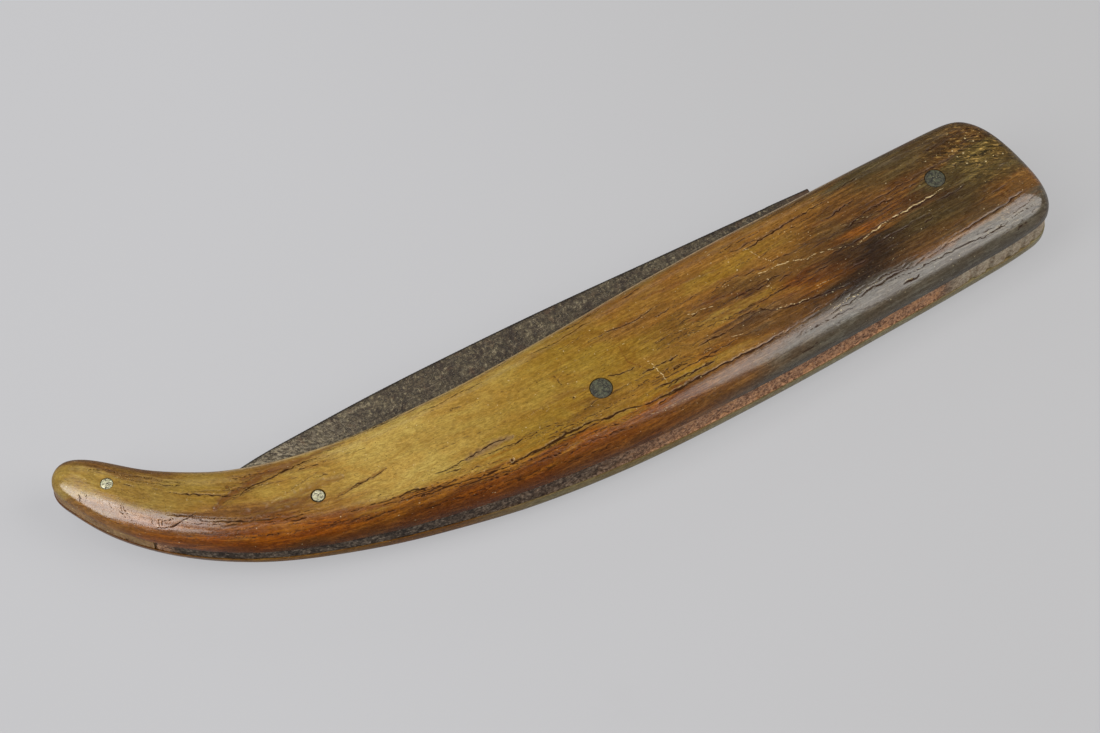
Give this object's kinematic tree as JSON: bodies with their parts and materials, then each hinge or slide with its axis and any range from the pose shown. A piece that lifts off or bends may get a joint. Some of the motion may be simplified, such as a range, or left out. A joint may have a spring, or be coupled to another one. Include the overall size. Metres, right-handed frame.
{
  "type": "straight razor",
  "caption": "Folding razor with a pivoted steel blade closing between two thick horn scales, held by a back spring along the handle's curved edge.",
  "frame": {"origin": "where the pivot pin's axis meets the outer flat of the back scale, the face the closed razor lies on", "axes": "+Z out of the front scale and along the pivot pin, +X along the handle from the tail to the pivot end, +Y to the open side where the blade's spine shows"},
  "size_m": [0.1508, 0.0406, 0.0126],
  "materials": {
    "horn": "aged polished cow horn, amber to dark brown, with lengthwise cracks",
    "horn_wedge": "dull aged horn",
    "blade_steel": "dark grey-brown patina with fine pits",
    "spring_iron": "dark forged iron, red-brown rust towards the pivot end",
    "pin_iron": "dark blue-grey iron, filed flush",
    "pin_pale": "dull pale greenish-white metal",
    "washer_brass": "tarnished"
  },
  "bodies": {
    "handle": {"front_scale": "horn", "back_scale": "horn", "tail_wedge": "horn_wedge", "pivot_pin": "pin_iron", "middle_pin": "pin_iron", "spring_pin": "pin_pale", "tail_pin": "pin_pale", "back_washer": "washer_brass", "front_washer": "washer_brass"},
    "blade": {"blade": "blade_steel"},
    "back_spring": {"back_spring": "spring_iron"}
  },
  "joints": [
    {"name": "blade_pivot", "type": "hinge", "parent": "handle", "child": "blade", "pos_m": [0, 0, 0.0063], "axis": [0, 0, -1], "range_deg": [0, 180]},
    {"name": "spring_flex", "type": "hinge", "parent": "handle", "child": "back_spring", "pos_m": [-0.0999, -0.0238, 0.0063], "axis": [0, 0, -1], "range_deg": [0, 0.6], "stiffness_Nm_per_rad": 20}
  ]
}
